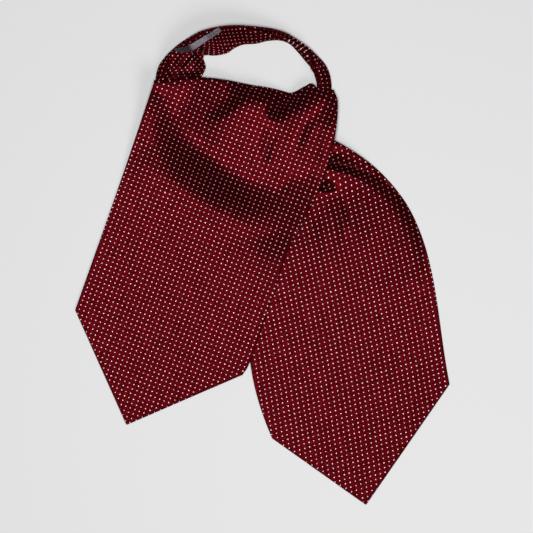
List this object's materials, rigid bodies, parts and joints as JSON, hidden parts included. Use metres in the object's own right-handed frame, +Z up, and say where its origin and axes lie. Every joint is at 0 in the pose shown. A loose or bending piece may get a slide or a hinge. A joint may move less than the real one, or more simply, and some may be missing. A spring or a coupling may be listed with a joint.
{
  "type": "silk day cravat",
  "caption": "Pin-dot silk day cravat laid flat, with a pleated neckband curled into a loop and two wide pointed blades crossed below it.",
  "frame": {"origin": "middle of the cravat's outline, on the surface that it lies on", "axes": "+Z up from the surface, +Y along its length from the blades' points to the neck loop, +X across it"},
  "size_m": [0.3314, 0.4253, 0.0221],
  "materials": {
    "blade_silk": "burgundy woven silk with small pale dots, soft sheen",
    "band_silk": "burgundy woven silk with small pale dots, soft sheen",
    "facing_silk": "burgundy woven silk with small pale dots, soft sheen",
    "ribbon": "grey woven ribbon, matte",
    "under_layers": "burgundy silk in folded layers"
  },
  "bodies": {
    "root": {"front_blade": "blade_silk", "rear_blade": "blade_silk", "neckband_outer": "band_silk", "neckband_facing": "facing_silk", "loop_label": "ribbon", "knot_layers": "under_layers"}
  },
  "joints": []
}
